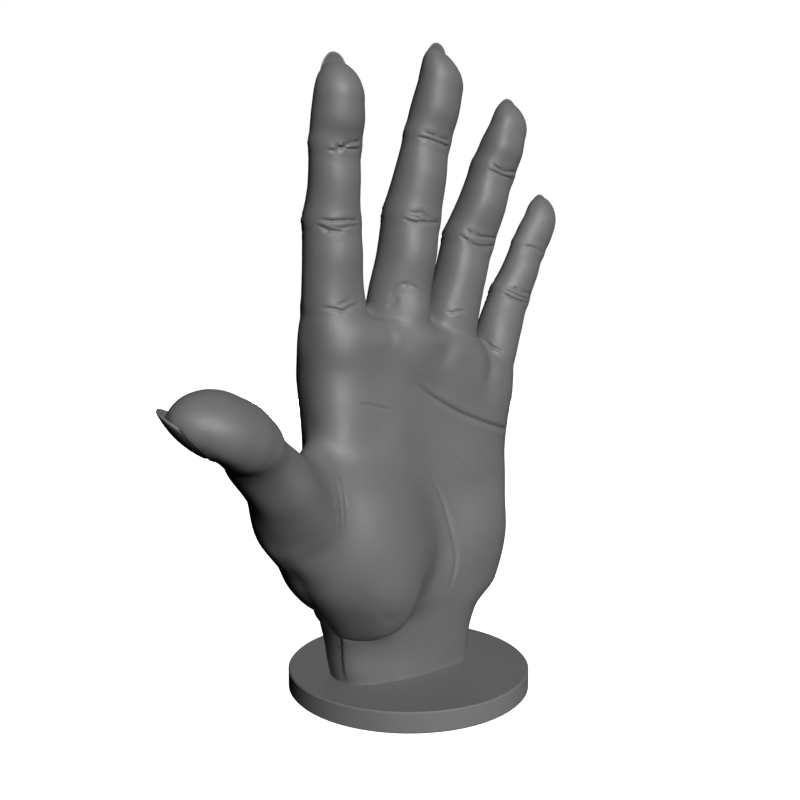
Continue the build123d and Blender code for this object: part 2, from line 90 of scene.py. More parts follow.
# Place of the outer depths across the palm, and how square its outline is: all over, and at a ridge towards
# the first finger, which grows between two heights and two places across
PALM_PLACE = 0.74
PALM_SQUARENESS = 2.62
RIDGE_SQUARENESS = 4.78
RIDGE_HEIGHTS = (40.0, 80.0)
RIDGE_ACROSS = (0.2, -0.4)

# Mounds of the palm: centre, half sizes, height of the lower half, turns about X, Y and Z, how softly each
# joins the palm below and above two heights, and how square it is
MOUND_HEIGHTS = (30.0, 75.0)
MOUNDS = [
    ((-20.7, -9.9, 43.1), (22.5, 17.9, 29.9), 21.4, (5.0, -24.9, 34.1), (8.1, 20.2), 2.09),
    ((-18.7, -5.2, 26.6), (16.4, 17.9, 12.4), 14.1, (-4.5, -15.6, -19.9), (4.4, 7.0), 1.42),
    ((-35.6, -7.0, 56.9), (20.1, 5.8, 18.9), 20.9, (19.7, -33.4, 39.9), (9.8, 10.1), 2.05),
]

# Digits: root, bones as (length, turn, lean), the way the back faces, sections as (place, breadth, palm
# depth, back depth, shift), fullness of the pad towards both sides and one, and the tip's length, rise and
# lean. The thumb's last segment has a heel, as its start and length, and its segments join more tightly.
DIGITS = {
    "thumb": {
        "root": (-25.0, -2.3, 29.4),
        "bones": [(40.9, -42.4, 22.2), (34.9, -40.1, 26.8), (25.4, -64.5, 10.1)],
        "back": (-0.15, 0.42, -0.68),
        "sections": [
            (0.0, 31.7, 12.2, 10.1, -5.0), (20.0, 37.8, 12.4, 11.5, -4.1), (42.1, 25.0, 10.5, 11.9, -1.1),
            (58.0, 21.9, 9.5, 9.4, -0.2), (70.0, 19.2, 7.2, 10.0, -0.5), (75.0, 16.7, 7.1, 9.6, 0.6),
            (81.0, 19.8, 8.6, 8.0, 0.4), (86.5, 20.3, 8.5, 6.5, 0.7),
        ],
        "pad": (0.18, -0.09),
        "tip": (14.2, 1.3, 0.2),
        "heel": (5.4, 10.7),
        "join": 2.1,
    },
    "index": {
        "root": (-28.2, -0.6, 96.6),
        "bones": [(46.5, -3.0, 3.1), (22.3, -1.4, 9.9), (23.4, -0.3, 10.8)],
        "back": (0.03, 0.96, -0.01),
        "sections": [
            (0.0, 19.5, 10.9, 12.0, 0.0), (21.0, 20.5, 9.7, 8.3, 0.0), (33.7, 19.3, 9.8, 7.7, 0.0),
            (46.5, 17.8, 8.1, 8.4, 0.0), (57.6, 16.2, 7.8, 6.4, 0.0), (68.8, 16.3, 6.2, 5.5, 0.4),
            (76.0, 16.6, 7.6, 5.8, 0.3), (83.3, 15.3, 6.9, 5.6, 0.5),
        ],
        "pad": (-0.01, -0.06),
        "tip": (11.0, 2.0, 0.1),
    },
    "middle": {
        "root": (-8.3, -0.2, 99.5),
        "bones": [(47.4, 7.9, 4.1), (25.1, 8.0, 8.9), (27.0, 10.8, 11.3)],
        "back": (-0.08, 0.99, -0.04),
        "sections": [
            (0.0, 20.5, 12.3, 12.0, 0.0), (22.0, 21.5, 9.2, 8.4, 0.0), (34.7, 19.3, 10.7, 8.0, 0.0),
            (47.4, 19.0, 8.9, 8.5, 0.0), (60.0, 17.6, 8.5, 6.7, 0.0), (72.5, 16.1, 6.4, 5.9, 0.0),
            (81.2, 16.0, 7.4, 6.6, 0.0), (89.8, 15.5, 6.3, 5.1, 0.3),
        ],
        "pad": (0.07, -0.02),
        "tip": (10.7, 2.8, 3.1),
    },
    "ring": {
        "root": (9.7, -0.9, 95.7),
        "bones": [(47.0, 16.0, 1.9), (24.2, 17.5, 9.1), (24.1, 16.6, 11.5)],
        "back": (0.04, 0.99, 0.0),
        "sections": [
            (0.0, 18.4, 8.6, 11.5, 0.0), (21.5, 18.7, 9.1, 8.0, 0.0), (34.2, 17.6, 8.9, 7.5, 0.0),
            (47.0, 17.7, 7.5, 8.2, 0.0), (59.1, 16.4, 8.6, 6.6, 0.0), (71.2, 15.4, 6.7, 6.3, 0.2),
            (78.6, 15.2, 7.5, 5.1, 0.2), (86.0, 13.6, 5.4, 4.2, 0.1),
        ],
        "pad": (0.21, 0.03),
        "tip": (9.6, 3.0, 0.8),
    },
    "little": {
        "root": (25.9, 0.3, 82.3),
        "bones": [(44.0, 22.5, 1.8), (18.4, 24.2, 3.5), (20.2, 23.1, 2.3)],
        "back": (-0.02, 0.99, 0.03),
        "sections": [
            (0.0, 16.1, 8.0, 8.8, 0.0), (20.5, 15.9, 9.7, 6.8, 0.0), (32.2, 15.9, 7.7, 6.5, 0.0),
            (44.0, 14.9, 5.8, 6.8, 0.0), (53.2, 13.7, 6.1, 5.4, 0.0), (62.4, 13.2, 4.7, 4.9, 0.1),
            (67.8, 13.8, 5.3, 4.6, -0.2), (73.2, 12.9, 5.3, 3.3, -0.5),
        ],
        "pad": (-0.01, -0.12),
        "tip": (10.2, 1.3, 0.6),
    },
}

NAIL_THICKNESS = 0.7
# Nails, about where the solids have them: middle of the top, the way it points and the way it faces, then
# breadth, length, crosswise radius and lengthwise radius
NAILS = {
    "thumb": ((-91.42, -33.92, 91.58), (-0.718, -0.137, 0.683), (-0.689, 0.281, -0.668),
              14.0, 16.5, 9.0, 27.0),
    "index": ((-31.61, -4.88, 191.74), (-0.031, -0.198, 0.98), (0.026, 0.98, 0.199),
              10.0, 15.0, 7.0, 34.0),
    "middle": ((4.5, -5.65, 200.83), (0.147, -0.172, 0.974), (-0.074, 0.98, 0.184),
               10.2, 15.5, 7.0, 34.0),
    "ring": ((36.22, -3.52, 189.81), (0.313, -0.129, 0.941), (0.059, 0.992, 0.116),
             9.6, 14.0, 6.6, 32.0),
    "little": ((56.99, 1.27, 161.87), (0.405, -0.056, 0.913), (0.048, 0.998, 0.04),
               8.0, 11.0, 5.4, 28.0),
}


def smooth_table(places, rows, count=600):
    """Dense table of a smooth curve through rows of numbers, which never overshoots them."""
    places = np.asarray(places, float)
    rows = np.asarray(rows, float)
    step = np.diff(places)[:, None]
    rise = np.diff(rows, axis=0) / step
    slope = np.zeros_like(rows)
    same = rise[:-1] * rise[1:] > 0
    harmonic = 2 * rise[:-1] * rise[1:] / np.where(same, rise[:-1] + rise[1:], 1)
    slope[1:-1] = np.where(same, harmonic, 0)
    slope[0] = rise[0]
    slope[-1] = rise[-1]
    at = np.linspace(places[0], places[-1], count)
    k = np.clip(np.searchsorted(places, at, side="right") - 1, 0, len(places) - 2)
    t = ((at - places[k]) / (places[k + 1] - places[k]))[:, None]
    h = step[k]
    dense = ((1 + 2 * t) * (1 - t) ** 2 * rows[k] + t * (1 - t) ** 2 * h * slope[k]
             + t * t * (3 - 2 * t) * rows[k + 1] + t * t * (t - 1) * h * slope[k + 1])
    return at, dense


def look_up(table, at):
    """Rows of a table at many places."""
    places, rows = table
    return [np.interp(at, places, rows[:, i]) for i in range(rows.shape[1])]


def smooth_min(a, b, soft):
    """Lesser of two distances, with a rounded valley where they meet."""
    h = np.maximum(soft - np.abs(a - b), 0.0) / soft
    return np.minimum(a, b) - h ** 3 * soft / 6.0


def ease(low, high, value):
    """Smooth step from 0 at low to 1 at high, in either direction."""
    t = np.clip((value - low) / (high - low), 0.0, 1.0)
    return t * t * (3 - 2 * t)


def unit(v):
    """Vector of the same direction with a length of 1."""
    v = np.asarray(v, float)
    return v / np.linalg.norm(v)


def direction(turn, lean):
    """Unit vector that leaves +Z by a turn towards +X and a lean towards -Y."""
    turn = math.radians(turn)
    lean = math.radians(lean)
    return np.array([math.sin(turn) * math.cos(lean), -math.sin(lean), math.cos(turn) * math.cos(lean)])


class Digit:
    """A finger or the thumb: its joints, the frame of each segment, and its sections along the way."""

    def __init__(self, spec):
        self.joints = [np.array(spec["root"]) + (0, 0, WRIST_FOOT)]
        for length, turn, lean in spec["bones"]:
            self.joints.append(self.joints[-1] + direction(turn, lean) * length)
        self.ways = [unit(b - a) for a, b in zip(self.joints, self.joints[1:])]
        self.rears = [unit(np.array(spec["back"]) - w * np.dot(spec["back"], w)) for w in self.ways]
        self.lengths = [bone[0] for bone in spec["bones"]]
        self.tip, self.rise, self.lopsided = spec["tip"]
        self.lengths[2] -= self.tip
        self.starts = [0.0, self.lengths[0], self.lengths[0] + self.lengths[1]]
        self.heel = spec.get("heel", (0.0, 0.0))
        self.flat, self.skew = spec["pad"]
        self.join = spec.get("join", SEGMENT_JOIN)
        sections = np.array(spec["sections"])
        self.table = smooth_table(sections[:, 0], sections[:, 1:])
        corners = np.array(self.joints)
        self.low = corners.min(0) - DIGIT_ROOM
        self.high = corners.max(0) + DIGIT_ROOM

    def distance(self, points):
        """Distance of points from the flesh, negative inside."""
        total = self.segment(points, 0)[0]
        for k in (1, 2):
            total = smooth_min(total, self.segment(points, k)[0], self.join)
        return total

    def segment(self, points, k):
        """Distance from one segment's flesh, place along the digit, and shares of its breadth and depth."""
        way, rear = self.ways[k], self.rears[k]
        offset = points - self.joints[k]
        along = offset @ way
        start, heel = self.heel if k == 2 else (0.0, 0.0)
        inside = np.clip(along, start, self.lengths[k])
        over = along - inside
        breadth, palm, back, shift = look_up(self.table, self.starts[k] + inside)
        x = offset @ np.cross(way, rear) - shift
        y = offset @ rear
        half = breadth / 2
        end = np.maximum(END_ROUNDNESS * np.minimum(half, palm), heel)
        if k == 2:
            reach = np.clip(over / self.tip, 0, 1)
            x = x - self.lopsided * reach ** 2
            y = y - self.rise * reach ** 2
            end = np.where(over > 0, self.tip, end)
        u = np.clip(x / half, -1, 1)
        depth = np.where(y > 0, back, palm * (1 + self.flat * u * u + self.skew * u))
        ratio = np.sqrt((x / half) ** 2 + (y / depth) ** 2 + (over / end) ** 2)
        size = np.sqrt(x ** 2 + y ** 2 + over ** 2)
        d = (ratio - 1) * size / np.maximum(ratio, 1e-6)
        return np.where(ratio < 1e-3, -np.minimum(half, palm), d), self.starts[k] + along, x / half, y / depth

    def place(self, points):
        """Distance, place along the digit and angle round it: 0 faces the palm, pi the back."""
        found = list(zip(*(self.segment(points, k) for k in range(3))))
        nearest = np.argmin(found[0], axis=0)
        d, along, across, rear = [np.choose(nearest, values) for values in found]
        return d, along, np.arctan2(across, -rear)


digits = {name: Digit(spec) for name, spec in DIGITS.items()}
palm_table = smooth_table(PALM_ROWS[:, 0], PALM_ROWS[:, 1:])


def palm_level(x, y, height):
    """Level of the palm's form, 0 on its surface."""
    thumb, little, p1, p2, p3, b1, b2, b3 = look_up(palm_table, height)
    u = (x - (thumb + little) / 2) / ((little - thumb) / 2)
    ridge = ease(*RIDGE_HEIGHTS, height) * ease(*RIDGE_ACROSS, u)
    power = PALM_SQUARENESS + (RIDGE_SQUARENESS - PALM_SQUARENESS) * ridge
    bulge = 1 - np.abs(u) ** power
    edge = np.sqrt(1 - PALM_PLACE ** power)
    front = y < 0
    d1 = np.where(front, p1, b1) / edge
    d2 = np.where(front, p2, b2)
    d3 = np.where(front, p3, b3) / edge
    v = np.clip(u, -1.05, 1.05) / PALM_PLACE
    depth = d2 + (d3 - d1) / 2 * v + ((d1 + d3) / 2 - d2) * v * v
    return (y / np.maximum(depth, 0.5)) ** 2 - bulge


def palm_distance(points):
    """Distance of points from the palm's own form at their height, negative inside."""
    x, y, height = points[:, 0], points[:, 1], points[:, 2] - WRIST_FOOT
    e = 0.05
    level = palm_level(x, y, height)
    sx = (palm_level(x + e, y, height) - level) / e
    sy = (palm_level(x, y + e, height) - level) / e
    d = np.clip(level / np.maximum(np.hypot(sx, sy), 0.02), -12, 30)
    return np.maximum(d, height - PALM_ROWS[-1, 0])


def turned(turns):
    """Matrix of turns about X, then Y, then Z of the turned frame, as the solids place their mounds."""
    a, b, c = np.radians(turns)
    rx = np.array([[1, 0, 0], [0, math.cos(a), -math.sin(a)], [0, math.sin(a), math.cos(a)]])
    ry = np.array([[math.cos(b), 0, math.sin(b)], [0, 1, 0], [-math.sin(b), 0, math.cos(b)]])
    rz = np.array([[math.cos(c), -math.sin(c), 0], [math.sin(c), math.cos(c), 0], [0, 0, 1]])
    return rx @ ry @ rz


def mound_distance(points, mound):
    """Distance of points from one mound, negative inside."""
    centre, half, lower, turns, _, power = mound
    local = (points - np.array(centre) - (0, 0, WRIST_FOOT)) @ turned(turns)
    local[:, 2] *= np.where(local[:, 2] < 0, half[2] / lower, 1.0)
    share = np.maximum(np.abs(local) / half, 1e-4)
    ratio = (share ** power).sum(1) ** (1 / power)
    slope = np.sqrt(((share ** (power - 1) / half) ** 2).sum(1)) * ratio ** (1 - power)
    return (ratio - 1) / np.maximum(slope, 1e-4)


def flesh_distance(points):
    """Distance of points from the whole hand's smooth form, negative inside."""
    d = palm_distance(points)
    for mound in MOUNDS:
        low, high = mound[4]
        soft = low + (high - low) * ease(*MOUND_HEIGHTS, points[:, 2] - WRIST_FOOT)
        d = smooth_min(d, mound_distance(points, mound), soft)
    fingers = np.full(len(points), FAR)
    for name, digit in digits.items():
        near = np.all((points > digit.low) & (points < digit.high), axis=1)
        own = np.full(len(points), FAR)
        own[near] = digit.distance(points[near])
        if name == "thumb":
            d = smooth_min(d, own, THUMB_JOIN)
        else:
            fingers = smooth_min(fingers, own, NEIGHBOUR_JOIN)
    return smooth_min(d, fingers, FINGER_JOIN)


def flesh_slope(points):
    """Outward slope of the distance at points."""
    e = 0.02
    slope = np.empty_like(points)
    for axis in range(3):
        step = np.zeros(3)
        step[axis] = e
        slope[:, axis] = (flesh_distance(points + step) - flesh_distance(points - step)) / (2 * e)
    return slope


def settle(points, rounds):
    """Move points on to the flesh."""
    for _ in range(rounds):
        slope = flesh_slope(points)
        d = flesh_distance(points)
        points = points - slope * (d / np.maximum((slope ** 2).sum(1), 0.05))[:, None]
    return points


def flesh_surface():
    """Evenly sized quads over the hand's smooth form, carried a little below the wrist's foot."""
    counts = np.ceil(GRID_SIZE / (CELL * COARSE)).astype(int)
    rough_axes = [GRID_LOW[i] + (np.arange(counts[i]) + 0.5) * CELL * COARSE - CELL / 2 for i in range(3)]
    rough_points = np.stack(np.meshgrid(*rough_axes, indexing="ij"), -1).reshape(-1, 3)
    rough = flesh_distance(rough_points).reshape(counts)
    field = np.repeat(np.repeat(np.repeat(rough, COARSE, 0), COARSE, 1), COARSE, 2)
    close = np.abs(field) < REACH + CELL * COARSE
    where = np.argwhere(close)
    field[close] = flesh_distance(GRID_LOW + where * CELL)
    grid = openvdb.FloatGrid(REACH)
    grid.copyFromArray(np.clip(field, -REACH, REACH).astype(np.float32))
    points, quads = grid.convertToQuads()
    points = GRID_LOW + np.asarray(points, float) * CELL
    quads = quads[points[quads][:, :, 2].min(1) > WRIST_FOOT - BELOW_FOOT]
    used, places = np.unique(quads, return_inverse=True)
    return points[used], places.reshape(quads.shape)


# Creases and folds: depth, breadth, how much of each end fades, and points on the skin. Each has two lips, as
# shares of its depth and breadth, and is looked for within a range.
LIP_HEIGHT = 0.3
LIP_PLACE = 2.3
LIP_BREADTH = 1.2
LINE_RANGE = 60.0
LINES = [
    # Palm
    (0.6, 0.75, (0.25, 0.05), [(-7.8, -13.4, 102.1), (-2.8, -12.9, 98.7), (3.6, -12.4, 95.0),
     (9.7, -12.4, 91.8), (15.6, -12.9, 89.4), (21.5, -13.5, 87.3), (27.3, -13.4, 85.6), (34.0, -11.0, 84.0)]),
    (0.22, 0.5, (0.3, 0.3), [(-29.4, -12.5, 95.8), (-24.9, -13.3, 95.3), (-19.9, -13.3, 94.2),
     (-13.9, -13.0, 92.7)]),
    (0.12, 0.5, (0.3, 0.3), [(-24.4, -12.9, 88.3), (-19.7, -12.9, 86.2), (-14.6, -12.4, 83.4)]),
    (0.36, 0.7, (0.3, 0.25), [(-8.6, -11.9, 78.2), (-3.4, -11.8, 73.6), (0.5, -11.9, 68.7),
     (3.1, -12.2, 63.3), (5.0, -12.9, 57.3), (6.4, -13.7, 51.4), (7.2, -14.3, 46.2), (6.5, -14.8, 41.1),
     (4.4, -14.8, 36.5), (1.6, -14.9, 32.4)]),
    (0.13, 0.55, (0.3, 0.3), [(6.1, -12.3, 78.7), (11.4, -13.0, 74.7), (16.0, -14.1, 70.2),
     (19.9, -15.1, 65.0)]),
    # Base of the thumb
    (0.16, 0.4, (0.3, 0.4), [(-39.6, -18.7, 75.3), (-40.5, -24.0, 71.3), (-41.4, -27.8, 66.4),
     (-42.0, -29.2, 59.7)]),
    (0.14, 0.4, (0.3, 0.4), [(-37.6, -19.8, 75.3), (-38.6, -24.8, 71.2), (-39.3, -27.5, 66.9),
     (-40.2, -28.9, 61.6)]),
    (0.14, 0.4, (0.3, 0.4), [(-43.4, -21.8, 73.8), (-44.0, -27.2, 69.9), (-44.1, -29.5, 65.0),
     (-43.8, -29.6, 58.6)]),
    # Index finger
    (0.34, 0.5, (0.3, 0.25), [(-38.0, -6.5, 123.9), (-36.0, -8.8, 124.1), (-33.6, -9.9, 123.8),
     (-31.4, -10.5, 123.2), (-29.0, -10.8, 124.6), (-24.4, -10.0, 125.8)]),
    (0.22, 0.45, (0.3, 0.3), [(-34.1, -9.9, 124.8), (-31.4, -10.6, 125.6), (-29.0, -10.9, 126.4),
     (-26.3, -10.7, 127.0)]),
    (0.4, 0.42, (0.25, 0.1), [(-38.3, -7.9, 149.7), (-36.5, -9.6, 149.5), (-34.2, -10.7, 149.4),
     (-30.8, -11.3, 149.8), (-25.7, -10.5, 150.3)]),
    (0.42, 0.42, (0.3, 0.3), [(-38.9, -6.7, 148.7), (-37.1, -8.9, 147.5), (-34.7, -10.2, 146.6),
     (-32.3, -10.9, 146.4), (-29.8, -11.2, 146.6)]),
    (0.26, 0.4, (0.35, 0.2), [(-34.7, -10.3, 147.7), (-32.3, -11.0, 147.4), (-29.4, -11.2, 148.1),
     (-25.8, -10.4, 148.7)]),
    (0.34, 0.4, (0.3, 0.1), [(-36.3, -12.2, 171.0), (-33.9, -12.9, 170.3), (-31.6, -13.3, 170.0),
     (-26.0, -12.3, 170.6)]),
    (0.38, 0.42, (0.3, 0.1), [(-37.4, -10.6, 169.2), (-35.3, -12.4, 169.2), (-32.9, -13.2, 170.1),
     (-30.4, -13.7, 171.6), (-26.1, -12.9, 172.9)]),
    # Middle finger
    (0.2, 0.45, (0.3, 0.3), [(-14.0, -7.7, 126.5), (-12.4, -8.9, 129.6), (-10.8, -9.9, 131.3),
     (-8.9, -10.7, 132.1), (-6.2, -11.4, 131.4), (-3.5, -11.0, 129.7), (-0.1, -10.2, 129.1)]),
    (0.16, 0.9, (0.3, 0.4), [(-10.8, -9.9, 128.3), (-12.1, -9.1, 126.3), (-14.6, -7.4, 124.3)]),
    (0.4, 0.42, (0.25, 0.1), [(-9.9, -9.1, 152.7), (-8.5, -10.5, 151.8), (-6.2, -11.8, 151.1),
     (-3.0, -12.6, 151.2), (4.1, -11.2, 151.8)]),
    (0.32, 0.42, (0.3, 0.3), [(-8.3, -10.7, 153.9), (-6.3, -11.9, 153.9), (-4.1, -12.6, 154.1),
     (-2.3, -12.6, 152.9), (0.5, -12.4, 151.6)]),
    (0.2, 0.36, (0.35, 0.35), [(-8.3, -10.6, 153.0), (-5.8, -12.0, 152.6), (-4.0, -12.5, 151.9)]),
    (0.36, 0.42, (0.25, 0.05), [(-4.3, -12.6, 178.6), (-1.5, -13.9, 177.9), (1.6, -14.3, 177.2),
     (6.2, -13.4, 177.0)]),
    (0.36, 0.42, (0.25, 0.05), [(-5.5, -11.0, 177.1), (-2.7, -13.2, 176.6), (0.2, -13.9, 176.0),
     (6.0, -12.9, 175.1)]),
    # Ring finger
    (0.26, 0.5, (0.3, 0.3), [(8.3, -8.0, 123.9), (10.2, -9.4, 123.4), (12.6, -10.3, 124.0),
     (15.5, -10.6, 123.8)]),
    (0.4, 0.42, (0.25, 0.05), [(15.9, -7.8, 151.1), (18.8, -9.8, 149.5), (22.2, -10.4, 148.6),
     (29.1, -8.9, 148.8)]),
    (0.42, 0.42, (0.3, 0.05), [(14.5, -6.4, 149.7), (16.0, -8.6, 148.0), (19.3, -10.0, 145.9),
     (22.4, -10.2, 145.5), (28.6, -8.6, 146.2)]),
    (0.38, 0.42, (0.25, 0.05), [(24.0, -11.4, 172.7), (26.5, -12.8, 171.0), (29.4, -13.2, 170.1),
     (35.6, -11.9, 170.9)]),
    (0.34, 0.42, (0.3, 0.05), [(23.3, -11.0, 170.5), (26.0, -12.5, 169.5), (28.9, -12.9, 168.6),
     (34.3, -11.9, 168.2)]),
    # Little finger
    (0.3, 0.5, (0.25, 0.25), [(28.6, -4.5, 114.3), (29.8, -7.3, 111.9), (31.0, -8.4, 111.5),
     (33.0, -9.6, 110.0)]),
    (0.34, 0.4, (0.25, 0.05), [(38.3, -5.1, 133.6), (40.6, -6.5, 132.5), (43.2, -7.2, 131.4),
     (49.6, -5.2, 130.8)]),
    (0.26, 0.36, (0.3, 0.1), [(36.6, -4.0, 132.4), (39.0, -6.0, 131.1), (41.3, -7.0, 130.0),
     (46.2, -6.8, 128.6)]),
    (0.32, 0.4, (0.25, 0.05), [(36.1, -4.1, 131.0), (38.9, -6.1, 129.2), (42.3, -7.0, 128.1),
     (46.6, -6.3, 127.6)]),
    (0.3, 0.42, (0.3, 0.05), [(44.7, -4.8, 147.4), (47.0, -6.4, 147.3), (49.1, -7.2, 146.7),
     (54.0, -6.7, 145.3)]),
    # Folds below the fingers
    (0.34, 2.2, (0.35, 0.35), [(8.7, -8.8, 122.5), (8.1, -11.5, 115.7), (5.2, -13.4, 109.3),
     (1.7, -13.2, 104.0)]),
    (0.3, 1.8, (0.35, 0.35), [(-13.6, -9.4, 120.9), (-15.8, -13.2, 116.6), (-14.2, -14.0, 111.7)]),
    (0.36, 1.8, (0.2, 0.35), [(28.2, -2.6, 115.0), (27.5, -7.7, 109.8), (24.1, -13.1, 102.5),
     (22.7, -13.3, 96.9)]),
]

# Edges of flesh that stands proud of the skin beside it, to the left of a line that is followed with the skin
# underfoot: height, roundness of the edge, how soon the flesh falls back, ends that taper, line. Each is
# looked for within a range, and the mesh is finer near the edge.
LEDGE_RANGE = 70.0
LEDGE_FINE = (-1.5, 2.5)
LEDGES = [
    # Ball of the thumb
    (3.0, 3.6, 12.0, (0.15, 0.4), [(-32.5, -4.0, 25.5), (-31.3, -6.3, 24.8), (-30.2, -8.6, 24.6),
     (-28.6, -10.7, 24.4), (-26.5, -13.1, 24.5), (-23.1, -16.2, 25.4), (-21.0, -18.6, 27.1),
     (-18.1, -18.7, 28.1), (-16.1, -20.6, 31.0), (-15.1, -22.8, 34.5), (-13.4, -24.1, 38.2),
     (-11.5, -24.6, 42.4), (-9.8, -24.2, 46.6)]),
    # Side of the wrist
    (0.8, 1.6, 5.0, (0.15, 0.35), [(-30.9, -7.6, 24.9), (-29.2, -5.1, 20.1), (-28.4, -4.1, 14.8),
     (-28.0, -4.1, 10.5), (-27.4, -4.4, 6.3)]),
]

# Swellings and hollows: centre, half breadths along X, Y and Z, and the height
SWELLINGS = [
    # Pads of the palm below the fingers, the hollows between them, and the palm's own hollow
    ((-25.3, -13.0, 107.8), (9.6, 9.0, 8.9), 1.61), ((-3.0, -13.0, 115.1), (9.8, 9.0, 8.1), 2.86),
    ((19.6, -12.0, 106.6), (7.2, 9.0, 8.2), 1.12), ((31.9, -10.0, 90.4), (6.6, 9.0, 8.3), 0.88),
    ((-19.4, -13.0, 107.7), (3.9, 9.0, 8.7), -0.26), ((3.5, -13.0, 115.9), (3.6, 9.0, 10.0), -1.52),
    ((26.3, -12.0, 103.7), (2.7, 9.0, 8.3), -0.8), ((-4.1, -13.0, 85.5), (12.0, 12.0, 16.0), -0.81),
    # Knuckles on the back, and the hollows between them
    ((-28.0, 10.0, 98.0), (8.0, 9.0, 8.5), 1.5), ((-7.5, 11.0, 102.0), (8.0, 9.0, 8.5), 1.7),
    ((10.5, 9.5, 100.0), (7.5, 9.0, 8.0), 1.4), ((28.5, 7.5, 88.0), (7.0, 9.0, 7.5), 1.3),
    ((-17.5, 10.0, 104.0), (4.0, 9.0, 8.0), -0.9), ((1.8, 10.0, 105.0), (4.0, 9.0, 8.0), -0.9),
    ((20.0, 8.0, 97.0), (4.0, 9.0, 8.0), -0.9),
    # Fullness and folds of the skin round the fingers' roots
    ((-8.4, -10.7, 123.3), (2.5, 9.0, 6.4), -0.37), ((-12.0, -8.8, 120.6), (2.0, 9.0, 5.2), -0.34),
    ((-9.1, -13.4, 107.3), (6.1, 9.0, 3.1), -0.76), ((-33.5, -11.2, 105.4), (6.9, 9.0, 6.1), 0.83),
    ((-26.7, -9.5, 124.8), (8.1, 9.0, 7.8), -1.23), ((28.8, -9.0, 105.9), (3.6, 9.0, 4.0), 0.64),
    ((11.9, -9.8, 118.9), (3.7, 9.0, 3.4), -0.2), ((23.7, -13.2, 96.2), (3.0, 9.0, 8.0), -0.27),
    ((-40.6, -10.8, 83.9), (7.6, 9.0, 11.2), 1.45), ((-19.9, -13.8, 97.0), (7.0, 9.0, 9.1), -0.76),
    # Underside of the thumb's ball and the wrist below it
    ((-56.3, -20.4, 46.4), (5.0, 7.0, 5.0), 0.66), ((-52.3, -17.2, 40.6), (5.0, 7.0, 5.0), -0.17),
    ((-33.8, -9.9, 21.1), (4.0, 6.0, 4.0), -0.33), ((-32.3, -14.4, 21.4), (4.0, 6.0, 4.0), 0.08),
    ((-29.3, -16.5, 20.8), (4.0, 6.0, 4.0), -0.17), ((-26.5, -19.3, 21.7), (4.0, 6.0, 4.0), 0.32),
    ((-21.2, -24.3, 26.9), (4.0, 6.0, 4.0), 0.09), ((-52.3, -22.0, 43.4), (6.0, 8.0, 6.0), 0.14),
    ((-47.8, -20.7, 37.8), (6.0, 8.0, 6.0), -0.36), ((-43.5, -21.0, 33.6), (6.0, 8.0, 6.0), 0.39),
    ((-38.7, -21.7, 30.0), (6.0, 8.0, 6.0), 0.5), ((-34.0, -24.1, 29.2), (6.0, 8.0, 6.0), -0.42),
    ((-29.4, -26.5, 30.5), (6.0, 8.0, 6.0), 0.51), ((-47.0, -8.0, 36.5), (6.0, 8.0, 7.0), 1.5),
    ((-41.5, -6.0, 29.5), (6.0, 8.0, 6.0), 1.3), ((-31.0, 6.0, 2.0), (7.0, 9.0, 11.0), 1.9),
    ((-18.0, -12.0, -2.0), (16.0, 7.0, 13.0), 1.0), ((-25.5, -8.0, -1.0), (7.0, 7.0, 11.0), 1.8),
    ((9.0, -10.0, -1.0), (9.0, 7.0, 10.0), -1.8), ((-22.3, -11.0, 13.1), (5.0, 7.0, 5.0), 0.41),
    # Little finger's side of the palm
    ((34.3, -9.3, 61.0), (7.0, 8.0, 8.0), 0.95),
    # Web between the thumb and the palm
    ((-40.7, -11.9, 78.4), (4.5, 8.0, 4.5), 0.3), ((-33.6, -15.4, 75.9), (4.5, 8.0, 4.5), 0.39),
    ((-39.3, -16.5, 73.0), (4.5, 8.0, 4.5), 0.24), ((-43.9, -14.0, 75.4), (4.5, 8.0, 4.5), -0.35),
    ((-33.3, -14.9, 79.7), (4.5, 8.0, 4.5), 0.09), ((-37.3, -13.0, 81.2), (4.5, 8.0, 4.5), 0.07),
]

